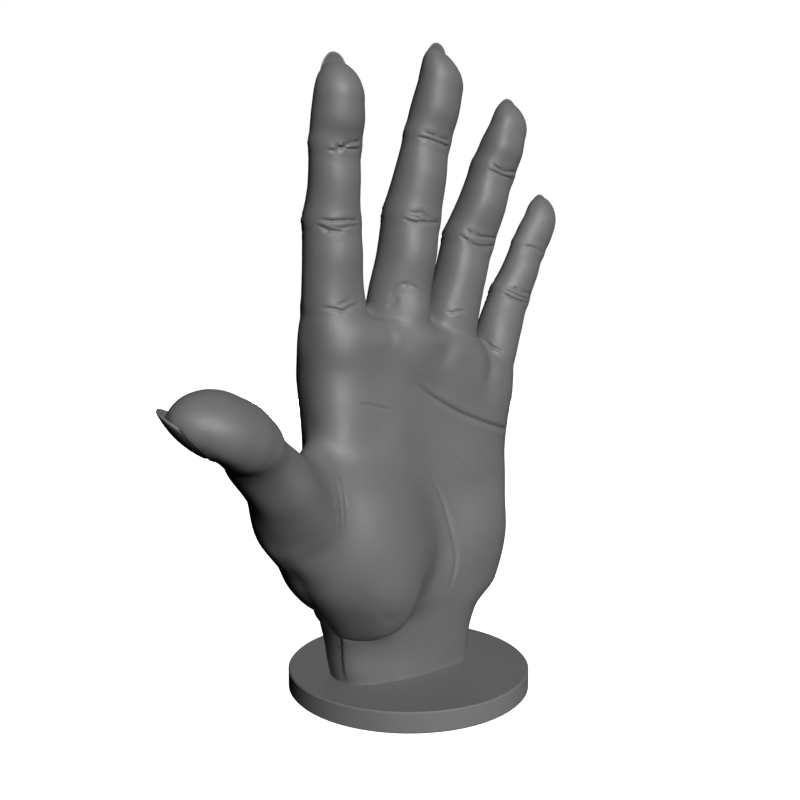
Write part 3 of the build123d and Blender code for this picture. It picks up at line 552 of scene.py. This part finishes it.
# Relief of the palm side, as points on its surface and the height at each
RELIEF_RADIUS = 8.0
RELIEF = np.array([
    (-39.5, -2.9, 121.3, 0.14), (5.4, -6.7, 121.8, -0.09), (33.4, -5.9, 122.2, 0.09),
    (-37.1, -8.3, 112.4, 0.18), (-18.2, -14.1, 112.4, -0.11), (-39.7, -3.1, 103.4, -0.57),
    (-11.8, -13.2, 103.1, -0.05), (13.3, -13.6, 102.4, 0.09), (-37.0, -7.9, 94.6, 0.31),
    (-29.0, -13.0, 94.6, 0.12), (-17.8, -13.4, 94.1, -0.31), (-86.3, -42.8, 92.3, -0.80),
    (-78.7, -43.7, 91.9, 0.60), (-69.3, -41.3, 91.0, 0.18), (-34.6, -13.0, 86.0, 0.17),
    (-24.7, -15.0, 85.5, -0.63), (-11.8, -13.2, 84.5, 0.73), (27.3, -13.3, 81.9, -0.21),
    (-43.2, -18.7, 78.5, 0.53), (-32.8, -19.1, 77.7, -0.10), (-21.9, -19.4, 76.8, -0.63),
    (-5.8, -13.5, 74.7, 0.08), (-66.8, -36.0, 75.1, -1.76), (-57.5, -35.6, 74.1, 0.83),
    (-41.0, -23.8, 70.5, 0.31), (-60.5, -32.2, 66.0, -0.96), (-50.1, -30.7, 64.4, 0.93),
    (-14.6, -25.6, 58.9, 0.08), (5.6, -15.3, 54.4, -0.14), (-53.4, -27.7, 56.0, -0.78),
    (-43.4, -27.8, 54.5, -0.17), (-22.6, -28.9, 51.7, 0.11), (11.2, -16.6, 44.1, 0.15),
    (-46.1, -23.4, 45.5, -0.18), (-37.6, -26.7, 44.8, 0.13), (-27.8, -28.3, 43.6, 0.12),
    (-15.1, -26.5, 41.0, -0.10), (4.9, -16.4, 35.2, -0.08), (-38.7, -19.4, 34.4, -0.13),
    (-30.5, -23.9, 34.0, -0.14),
])

# Finer relief below the fingers
FINE_RADIUS = 5.0
FINE_RELIEF = np.array([
    (-39.1, -4.8, 124.2, -0.40), (-36.0, -8.8, 124.2, 0.40), (-31.8, -11.0, 124.2, -0.13),
    (-26.4, -11.3, 124.3, -0.59), (-13.5, -9.1, 124.6, -0.37), (-9.4, -11.9, 124.6, -0.19),
    (-4.2, -13.2, 124.7, 0.14), (7.2, -6.4, 125.1, 0.18), (-37.7, -7.0, 120.4, 0.36),
    (-23.7, -11.4, 120.5, 0.39), (-7.3, -13.3, 120.6, -0.34), (13.7, -10.8, 120.9, 0.30),
    (32.3, -5.1, 121.2, 0.68), (-39.4, -5.1, 116.6, -0.54), (-36.4, -9.5, 116.5, 0.48),
    (-32.7, -12.4, 116.5, -0.30), (3.6, -11.3, 116.6, 0.74), (10.2, -11.1, 116.7, -0.26),
    (-38.1, -7.7, 112.7, 0.17), (-25.5, -14.2, 112.7, -0.37), (-19.5, -13.8, 112.7, -0.15),
    (-7.8, -14.1, 112.6, 0.26), (-1.8, -14.3, 112.6, -0.27), (5.2, -13.3, 112.5, -0.29),
    (12.0, -13.0, 112.5, 0.27), (-36.4, -9.4, 108.9, 0.24), (-32.7, -12.5, 108.9, 0.19),
    (-28.0, -13.7, 108.9, 0.20), (-4.6, -13.8, 108.5, 0.34), (14.9, -13.5, 108.2, -0.18),
    (-37.8, -7.1, 105.0, 0.20), (-30.3, -12.9, 105.0, -0.24), (-0.9, -13.0, 104.4, 0.18),
    (11.7, -13.4, 104.1, 0.23), (-36.6, -9.7, 101.2, 0.20), (-32.7, -12.4, 101.2, 0.18),
    (2.5, -12.8, 100.1, -0.30), (15.3, -13.2, 99.8, 0.27),
])

# Tendons on the back, from the wrist to each knuckle: height, half breadth, part that fades in, and points
TENDON_HEIGHT = 0.6
TENDON_BREADTH = 2.6
TENDON_FADE = 0.25
TENDONS = [
    [(-13.0, 14.0, 34.0), (-19.0, 12.5, 66.0), (-27.0, 11.0, 98.0)],
    [(-7.0, 14.0, 34.0), (-7.5, 13.5, 66.0), (-7.5, 12.0, 102.0)],
    [(-1.0, 14.0, 34.0), (4.0, 13.5, 66.0), (10.0, 10.5, 100.0)],
    [(5.0, 14.0, 34.0), (15.0, 12.5, 62.0), (27.0, 8.5, 88.0)],
]

# Wrinkles over a finger's middle and end knuckle: gap, how many on each side of the middle one, depth and
# breadth. Gaps are for a bone of one length. Wrinkles lie just before the knuckle and fade at the sides.
WRINKLES = [(1.9, 3, 0.26, 0.5), (1.3, 2, 0.17, 0.42)]
WRINKLES_BONE = 47
WRINKLES_BEFORE = 0.5
WRINKLES_SIDE = (1.8, 0.9)
WRINKLES_OFF = (2.5, 0.8)


def groove(distance, depth, breadth):
    """Height across a crease: a rounded groove between two low lips."""
    dip = -depth * np.exp(-(distance / breadth) ** 2)
    beside_lip = (np.abs(distance) - LIP_PLACE * breadth) / (LIP_BREADTH * breadth)
    return dip + LIP_HEIGHT * depth * np.exp(-beside_lip ** 2)


def from_line(points, line):
    """Distance of points from a line of points, how far along it they are, and the part that is nearest."""
    line = np.asarray(line, float)
    lengths = np.linalg.norm(np.diff(line, axis=0), axis=1)
    starts = np.concatenate([[0], np.cumsum(lengths)])
    best = np.full(len(points), 1e9)
    along = np.zeros(len(points))
    part = np.zeros(len(points), int)
    for k, (a, b, length, start) in enumerate(zip(line, line[1:], lengths, starts)):
        t = np.clip((points - a) @ (b - a) / length ** 2, 0, 1)
        d = np.linalg.norm(points - a - t[:, None] * (b - a), axis=1)
        nearer = d < best
        best[nearer] = d[nearer]
        along[nearer] = (start + t * length)[nearer] / starts[-1]
        part[nearer] = k
    return best, along, part


def beside(points, line):
    """Distance of points to the left of a line on the skin, below zero to the right, and how far along it."""
    d, t, part = from_line(points, line)
    ways = np.diff(line, axis=0)
    lefts = np.cross(flesh_slope((line[1:] + line[:-1]) / 2), ways)
    left = ((points - line[part]) * lefts[part]).sum(1) > 0
    return np.where(left, d, -d), t


def taper(place, ends):
    """Share of a line's full strength at places along it, from 0 at an end that tapers."""
    share = np.ones(len(place))
    if ends[0]:
        share *= ease(0, ends[0], place)
    if ends[1]:
        share *= ease(1, 1 - ends[1], place)
    return share


def smooth_line(line, parts=8):
    """Line through the same points with rounded bends, settled on the flesh."""
    places = np.arange(len(line))
    count = parts * (len(line) - 1) + 1
    return settle(smooth_table(places, np.array(line, float), count)[1], 3)


def wave(angle, seed):
    """Small uneven wave in an angle."""
    return 0.6 * np.sin(2.3 * angle + 1.7 * seed) + 0.4 * np.sin(4.1 * angle + 2.9 * seed)


def add_wrinkles(points, digit, seed):
    """Height of the wrinkles over a finger's two knuckles, and where a finer mesh is needed."""
    d, along, angle = digit.place(points)
    height = np.zeros(len(points))
    fine = np.zeros(len(points), bool)
    scale = digit.lengths[0] / WRINKLES_BONE
    round_back = math.pi - np.abs(angle)
    rear = ease(*WRINKLES_SIDE, round_back) * ease(*WRINKLES_OFF, np.abs(d))
    arch = np.cos(np.minimum(round_back * 1.2, math.pi / 2))
    for i, (gap, count, depth, breadth) in enumerate(WRINKLES):
        place = digit.starts[i + 1] - WRINKLES_BEFORE
        for n in range(-count, count + 1):
            line = place + n * gap * scale * (0.45 + 0.55 * arch) + 0.25 * wave(angle, seed + n + 7 * i)
            from_wrinkle = along - line
            height += rear * groove(from_wrinkle, depth * (1 - 0.16 * abs(n)), breadth)
            fine |= (rear > 0.05) & (np.abs(from_wrinkle) < 3 * breadth)
    return height, fine


def add_details(points):
    """Height of the skin's details over the smooth form at points, and where a finer mesh is needed."""
    height = np.zeros(len(points))
    fine = np.zeros(len(points), bool)
    for centre, half, rise in SWELLINGS:
        ratio = ((points - np.array(centre) - (0, 0, WRIST_FOOT)) / half) ** 2
        height += rise * np.exp(-ratio.sum(1))
    for radius, relief in ((RELIEF_RADIUS, RELIEF), (FINE_RADIUS, FINE_RELIEF)):
        for x, y, z, rise in relief:
            ratio = (points[:, 0] - x) ** 2 + (points[:, 1] - y) ** 2 + (points[:, 2] - z) ** 2
            height += rise * np.exp(-ratio / radius ** 2)
    for line in TENDONS:
        d, t, _ = from_line(points, smooth_line(np.array(line) + (0, 0, WRIST_FOOT)))
        height += TENDON_HEIGHT * np.exp(-(d / TENDON_BREADTH) ** 2) * ease(0, TENDON_FADE, t)
    for depth, breadth, ends, line in LINES:
        close = np.linalg.norm(points - np.mean(line, axis=0), axis=1) < LINE_RANGE
        d, t, _ = from_line(points[close], smooth_line(line))
        height[close] += taper(t, ends) * groove(d, depth, breadth)
        fine[np.flatnonzero(close)[d < 3.2 * breadth]] = True
    for rise, roundness, fall, ends, line in LEDGES:
        close = np.linalg.norm(points - np.mean(line, axis=0), axis=1) < LEDGE_RANGE
        d, t = beside(points[close], smooth_line(line))
        edge = np.sin(np.clip(d / roundness, 0, 1) * math.pi / 2)
        beyond = np.exp(-(np.maximum(d - roundness, 0) / fall) ** 2)
        height[close] += taper(t, ends) * rise * edge * beyond
        fine[np.flatnonzero(close)[(d > LEDGE_FINE[0]) & (d < LEDGE_FINE[1])]] = True
    for seed, (name, digit) in enumerate(digits.items()):
        if name != "thumb":
            close = np.all((points > digit.low) & (points < digit.high), axis=1)
            own_height, own_fine = add_wrinkles(points[close], digit, seed)
            height[close] += own_height
            fine[close] |= own_fine
    return height, fine


# Skin round a nail: reach of the bed under the nail, its depth, and the fold's height, place and breadth
BED_REACH = 4.5
BED_DEPTH = 0.45
FOLD_HEIGHT = 0.42
FOLD_PLACE = 0.75
FOLD_BREADTH = 0.85


def closed_outline(count):
    """Outline that all nails share, as shares of half the length and half the breadth."""
    corners = np.array([(1.0, 0.0), (0.82, 0.54), (0.2, 0.97), (-0.5, 0.97), (-0.9, 0.62),
                        (-1.0, 0.0), (-0.9, -0.62), (-0.5, -0.97), (0.2, -0.97), (0.82, -0.54)])
    at = np.arange(count) / count * len(corners)
    k = at.astype(int)
    t = (at - k)[:, None]
    p0, p1, p2, p3 = [corners[(k + i) % len(corners)] for i in (-1, 0, 1, 2)]
    return 0.5 * (2 * p1 + (p2 - p0) * t + (2 * p0 - 5 * p1 + 4 * p2 - p3) * t ** 2
                  + (3 * p1 - p0 - 3 * p2 + p3) * t ** 3)


class NailSeat:
    """Place and shape of one nail's top."""

    def __init__(self, origin, way, rear, breadth, length, cross, long):
        self.origin = np.array(origin)
        self.way = unit(way)
        self.rear = unit(rear)
        self.side = np.cross(self.rear, self.way)
        self.breadth = breadth
        self.length = length
        self.cross = cross
        self.long = long

    def top(self, x, y):
        """Height of the nail's top over its seat."""
        ring = self.long - self.cross + np.sqrt(np.maximum(self.cross ** 2 - y ** 2, 0.1))
        return np.sqrt(ring ** 2 - x ** 2) - self.long

    def local(self, points):
        """Places of points along the nail, across it and above its seat."""
        offset = points - self.origin
        return offset @ self.way, offset @ self.side, offset @ self.rear

    def world(self, x, y, z):
        """Points at places along the nail, across it and above its seat."""
        return self.origin + np.outer(x, self.way) + np.outer(y, self.side) + np.outer(z, self.rear)

    def plate(self):
        """Points and faces of the nail plate, in rings as shares of its outline and its thickness."""
        count = 72
        outline = closed_outline(count) * (self.length / 2, self.breadth / 2)
        rings = [(r, 0.0) for r in (0.12, 0.3, 0.5, 0.68, 0.82, 0.92)]
        rings += [(0.965, 3 / 70), (0.99, 1 / 5), (1.0, 1 / 2), (0.99, 4 / 5), (0.965, 34 / 35)]
        rings += [(r, 1.0) for r in (0.9, 0.7, 0.4, 0.15)]
        points = [self.world([0], [0], [self.top(np.zeros(1), np.zeros(1))[0]])]
        for r, down in rings:
            x, y = outline[:, 0] * r, outline[:, 1] * r
            points.append(self.world(x, y, self.top(x, y) - down * NAIL_THICKNESS))
        points.append(self.world([0], [0], [self.top(np.zeros(1), np.zeros(1))[0] - NAIL_THICKNESS]))
        points = np.concatenate(points)
        faces = [(0, 1 + i, 1 + (i + 1) % count) for i in range(count)]
        for n in range(len(rings) - 1):
            a, b = 1 + n * count, 1 + (n + 1) * count
            faces += [(a + i, b + i, b + (i + 1) % count, a + (i + 1) % count) for i in range(count)]
        end = 1 + len(rings) * count
        last = end - count
        faces += [(end, last + (i + 1) % count, last + i) for i in range(count)]
        return points, faces


def nail_bed(seat, points):
    """How far points move towards the back to make a bed under the nail and a fold round it."""
    x, y, z = seat.local(points)
    a, b = x / (seat.length / 2), y / (seat.breadth / 2)
    outline = closed_outline(360)
    angles = np.arctan2(outline[:, 1], outline[:, 0])
    order = np.argsort(angles)
    radii = np.linalg.norm(outline, axis=1)
    radius = np.interp(np.arctan2(b, a), angles[order], radii[order], period=2 * math.pi)
    ratio = np.sqrt(a ** 2 + b ** 2)
    outside = (ratio - radius) * seat.breadth / 2
    top = seat.top(np.clip(x, -seat.length, seat.length), np.clip(y, -0.98 * seat.cross, 0.98 * seat.cross))
    level = ease(-BED_REACH, -2.0, z - top) * ease(0.75, 0.55, a)
    bed = (top - BED_DEPTH - z) * ease(0.15, -0.55, outside) * level
    fold = FOLD_HEIGHT * np.exp(-((outside - FOLD_PLACE) / FOLD_BREADTH) ** 2) * level * ease(0.5, 0.1, a)
    close = (np.abs(outside) < 2.2) & (z > top - BED_REACH) & (a < 1.1)
    return bed + fold * ease(0.0, 0.4, outside), close


def make_object(name, points, faces, body):
    """Smooth-shaded mesh object from points in millimetres, riding on a body."""
    mesh = bpy.data.meshes.new(name)
    mesh.from_pydata((np.asarray(points) / 1000).tolist(), [], [tuple(int(i) for i in f) for f in faces])
    work = bmesh.new()
    work.from_mesh(mesh)
    bmesh.ops.recalc_face_normals(work, faces=work.faces)
    for face in work.faces:
        face.smooth = True
    for edge in work.edges:
        edge.smooth = edge.calc_face_angle(0) < SHARP
    work.to_mesh(mesh)
    work.free()
    piece = bpy.data.objects.new(name, mesh)
    bpy.context.scene.collection.objects.link(piece)
    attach(piece, body)
    return piece


def hand_mesh():
    """The hand's skin: the smooth form, made finer where details are, with the details raised on it."""
    points, quads = flesh_surface()
    points = settle(points, 2)
    work = bmesh.new()
    corners = [work.verts.new(p) for p in points]
    for quad in quads:
        work.faces.new([corners[i] for i in quad])
    seats = [NailSeat(*nail) for nail in NAILS.values()]
    for _ in range(2):
        work.verts.index_update()
        places = np.array([v.co for v in work.verts])
        fine = add_details(places)[1]
        for seat in seats:
            fine |= nail_bed(seat, places)[1]
        edges = [e for e in work.edges if fine[e.verts[0].index] and fine[e.verts[1].index]]
        bmesh.ops.subdivide_edges(work, edges=edges, cuts=1, use_grid_fill=True)
    work.verts.index_update()
    places = settle(np.array([v.co for v in work.verts]), 2)
    slope = flesh_slope(places)
    normals = slope / np.linalg.norm(slope, axis=1)[:, None]
    places = places + normals * add_details(places)[0][:, None]
    for seat in seats:
        places = places + np.outer(nail_bed(seat, places)[0], seat.rear)
    for vert, place in zip(work.verts, places):
        vert.co = place
    return work


def foot_and_socket(work):
    """Points and faces of the hand, cut off at the skin's foot and closed round the plug's socket."""
    geometry = list(work.verts) + list(work.edges) + list(work.faces)
    foot = (0, 0, SKIRT_FOOT)
    bmesh.ops.bisect_plane(work, geom=geometry, plane_co=foot, plane_no=(0, 0, 1), clear_inner=True)
    work.verts.index_update()
    points = [tuple(v.co) for v in work.verts]
    faces = [[v.index for v in f.verts] for f in work.faces]
    rim = sorted((math.atan2(v.co.y - PLUG_CENTRE[1], v.co.x - PLUG_CENTRE[0]), v.index)
                 for v in work.verts if v.is_boundary)
    oval = []
    for i in range(PLUG_PARTS):
        t = -math.pi + 2 * math.pi * i / PLUG_PARTS
        x = PLUG_CENTRE[0] + PLUG_HALF[0] * math.cos(t)
        y = PLUG_CENTRE[1] + PLUG_HALF[1] * math.sin(t)
        oval.append((math.atan2(y - PLUG_CENTRE[1], x - PLUG_CENTRE[0]), len(points)))
        points.append((x, y, WRIST_FOOT))
    points += [(x, y, PLUG_TOP) for x, y, _ in points[-PLUG_PARTS:]]
    oval.sort()
    i, j = 0, 0
    while i < len(rim) or j < len(oval):
        outer, inner = rim[i % len(rim)][1], oval[j % PLUG_PARTS][1]
        if j == len(oval) or (i < len(rim) and rim[i][0] <= oval[j][0]):
            i += 1
            faces.append([outer, rim[i % len(rim)][1], inner])
        else:
            j += 1
            faces.append([outer, oval[j % PLUG_PARTS][1], inner])
    for n in range(PLUG_PARTS):
        low, following = oval[n][1], oval[(n + 1) % PLUG_PARTS][1]
        faces.append([low, following, following + PLUG_PARTS, low + PLUG_PARTS])
    faces.append([place + PLUG_PARTS for _, place in oval])
    return points, faces


work = hand_mesh()
hand_points, hand_faces = foot_and_socket(work)
work.free()
hand = make_object("hand", hand_points, hand_faces, "hand")
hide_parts("hand_shell")

nails = []
for name, place in NAILS.items():
    nail = make_object(f"{name}_nail_plate", *NailSeat(*place).plate(), "hand")
    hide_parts(f"{name}_nail")
    nails.append(nail)

# Part of a pattern over which a material goes from one value to the other
PATTERN_RANGE = (0.3, 0.7)


def set_inputs(node, values):
    """Set constants on a node's sockets."""
    for name, value in values.items():
        node.inputs[name].default_value = value


def pattern(tree, kind, place, values):
    """Output of a pattern node."""
    node = tree.nodes.new(kind)
    set_inputs(node, values)
    tree.links.new(place, node.inputs["Vector"])
    return node.outputs["Fac"]


def noise(tree, place, scale, detail):
    """Output of a noise pattern."""
    return pattern(tree, "ShaderNodeTexNoise", place, {"Scale": scale, "Detail": detail})


def bands(tree, place, scale, distortion):
    """Output of a pattern of uneven bands."""
    values = {"Scale": scale, "Distortion": distortion, "Detail": 3}
    return pattern(tree, "ShaderNodeTexWave", place, values)


def surface(name, colours, roughness, patch, grain, depth, stretch=(1, 1, 1), metallic=0.0, rings=None):
    """Material with patches or bands between two colours and two roughnesses, and a grain of a depth."""
    material = bpy.data.materials.new(name)
    material.use_nodes = True
    tree = material.node_tree
    shader = tree.nodes["Principled BSDF"]
    shader.inputs["Metallic"].default_value = metallic
    mapping = tree.nodes.new("ShaderNodeMapping")
    mapping.inputs["Scale"].default_value = stretch
    tree.links.new(tree.nodes.new("ShaderNodeTexCoord").outputs["Object"], mapping.inputs["Vector"])
    place = mapping.outputs["Vector"]
    patches = bands(tree, place, *rings) if rings else noise(tree, place, patch, 4)
    tint = tree.nodes.new("ShaderNodeValToRGB")
    for stop, position, colour in zip(tint.color_ramp.elements, PATTERN_RANGE, colours):
        stop.position = position
        stop.color = (*colour, 1)
    tree.links.new(patches, tint.inputs["Fac"])
    tree.links.new(tint.outputs["Color"], shader.inputs["Base Color"])
    gloss = tree.nodes.new("ShaderNodeMapRange")
    set_inputs(gloss, dict(zip(("From Min", "From Max", "To Min", "To Max"), PATTERN_RANGE + roughness)))
    tree.links.new(noise(tree, place, patch * 2.3, 3), gloss.inputs["Value"])
    tree.links.new(gloss.outputs["Result"], shader.inputs["Roughness"])
    bump = tree.nodes.new("ShaderNodeBump")
    bump.inputs["Distance"].default_value = depth
    tree.links.new(noise(tree, place, grain, 2), bump.inputs["Height"])
    tree.links.new(bump.outputs["Normal"], shader.inputs["Normal"])
    return material


def shader_of(material):
    """Main shader of a material."""
    return material.node_tree.nodes["Principled BSDF"]


# Grey satin with a slightly uneven tone and the faint grain of sprayed lacquer
hand_grey = surface(
    "hand_grey", ((0.151, 0.151, 0.152), (0.159, 0.159, 0.159)), (0.52, 0.58), 70, 1600, 0.00001,
)
nail_grey = surface(
    "nail_grey", ((0.158, 0.158, 0.159), (0.166, 0.166, 0.166)), (0.46, 0.52), 90, 1600, 0.000006,
)
base_grey = surface(
    "base_grey", ((0.172, 0.172, 0.173), (0.184, 0.184, 0.184)), (0.54, 0.62), 55, 1300, 0.00002,
)
for grey in (hand_grey, nail_grey, base_grey):
    set_inputs(shader_of(grey), {"Specular IOR Level": 0.6})
wood = surface("wood", ((0.24, 0.13, 0.06), (0.40, 0.25, 0.13)), (0.6, 0.75), 60, 500, 0.0002,
               stretch=(1, 1, 0.08), rings=(40, 5))
brass = surface("brass", ((0.50, 0.30, 0.07), (0.62, 0.41, 0.12)), (0.24, 0.38), 150, 900, 0.00003,
                stretch=(0.4, 0.4, 4), metallic=1.0)
nylon = surface("nylon", ((0.66, 0.66, 0.61), (0.72, 0.72, 0.68)), (0.40, 0.50), 90, 900, 0.00002)
steel = surface("zinc_steel", ((0.34, 0.35, 0.36), (0.48, 0.48, 0.49)), (0.28, 0.44), 220, 1100, 0.00003,
                stretch=(1, 0.3, 1), metallic=1.0)
felt = surface("felt", ((0.004, 0.004, 0.005), (0.016, 0.016, 0.018)), (0.9, 1.0), 900, 2600, 0.0004)
set_inputs(shader_of(felt), {"Sheen Weight": 0.35, "Sheen Roughness": 0.6})

hand.data.materials.append(hand_grey)
for nail in nails:
    nail.data.materials.append(nail_grey)
finishes = {
    "wrist_plug": wood, "threaded_insert": brass, "glide_washer": nylon, "pivot_screw": steel,
    "spring_washer": steel, "base_disc": base_grey, "felt_pad": felt,
}
for name, material in finishes.items():
    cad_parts[name].data.materials.clear()
    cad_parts[name].data.materials.append(material)

# Camera at the photograph's place: angle of view, tilt and heading
VIEW_ANGLE = 50.0
CAMERA_TILT = -4.14
CAMERA_HEADING = -34.6
camera_data = bpy.data.cameras.new("camera")
camera_data.sensor_width = 36
camera_data.lens = camera_data.sensor_width / 2 / math.tan(math.radians(VIEW_ANGLE / 2))
camera_data.clip_start = 0.01
camera = bpy.data.objects.new("camera", camera_data)
camera.location = (-0.1622, -0.2302, 0.1154)
camera.rotation_euler = (math.radians(90 + CAMERA_TILT), 0, math.radians(CAMERA_HEADING))
bpy.context.scene.collection.objects.link(camera)
bpy.context.scene.camera = camera

STAGE_RADIUS = 5


def glowing(name, strength):
    """Material that only glows."""
    material = bpy.data.materials.new(name)
    material.use_nodes = True
    tree = material.node_tree
    tree.nodes.remove(tree.nodes["Principled BSDF"])
    glow = tree.nodes.new("ShaderNodeEmission")
    glow.inputs["Strength"].default_value = strength
    tree.links.new(glow.outputs["Emission"], tree.nodes["Material Output"].inputs["Surface"])
    return material


def stage_object(name, fill, material):
    """Object of the stage, which is seen but lends the part no light."""
    mesh = bpy.data.meshes.new(name)
    work = bmesh.new()
    fill(work)
    work.to_mesh(mesh)
    work.free()
    mesh.materials.append(material)
    piece = bpy.data.objects.new(name, mesh)
    bpy.context.scene.collection.objects.link(piece)
    piece.visible_diffuse = False
    piece.visible_glossy = False
    piece.visible_shadow = False


floor_paint = surface("floor", ((0.84, 0.84, 0.84), (0.86, 0.86, 0.86)), (0.85, 0.95), 3, 200, 0.00002)
set_inputs(shader_of(floor_paint), {"Emission Color": (1, 1, 1, 1), "Emission Strength": 1.0})
stage_object(
    "floor",
    lambda work: bmesh.ops.create_circle(work, cap_ends=True, radius=STAGE_RADIUS, segments=128),
    floor_paint,
)
stage_object(
    "backdrop",
    lambda work: bmesh.ops.create_uvsphere(work, u_segments=64, v_segments=32, radius=STAGE_RADIUS),
    glowing("backdrop", 1.0),
)


def area_light(name, place, size, power):
    """Round light that faces the hand."""
    data = bpy.data.lights.new(name, "AREA")
    data.shape = "DISK"
    data.size = size
    data.energy = power
    light = bpy.data.objects.new(name, data)
    light.location = place
    light.rotation_euler = (Vector((0, 0, 0.1)) - Vector(place)).to_track_quat("-Z", "Y").to_euler()
    light.visible_camera = False
    bpy.context.scene.collection.objects.link(light)
    return light


# The photograph shows no shadow of the hand on the disc, so the main light casts none
key_light = area_light("key", (-0.508, -2.638, 1.45), 1.0, 100)
key_light.data.use_shadow = False
rear_light = area_light("rear", (0.75, 1.1, 0.1), 0.5, 18)
rear_light.visible_glossy = False
world = bpy.data.worlds.new("world")
world.use_nodes = True
set_inputs(world.node_tree.nodes["Background"], {"Color": (1, 1, 1, 1), "Strength": 0.004})
bpy.context.scene.world = world
bpy.context.scene.view_settings.view_transform = "Standard"
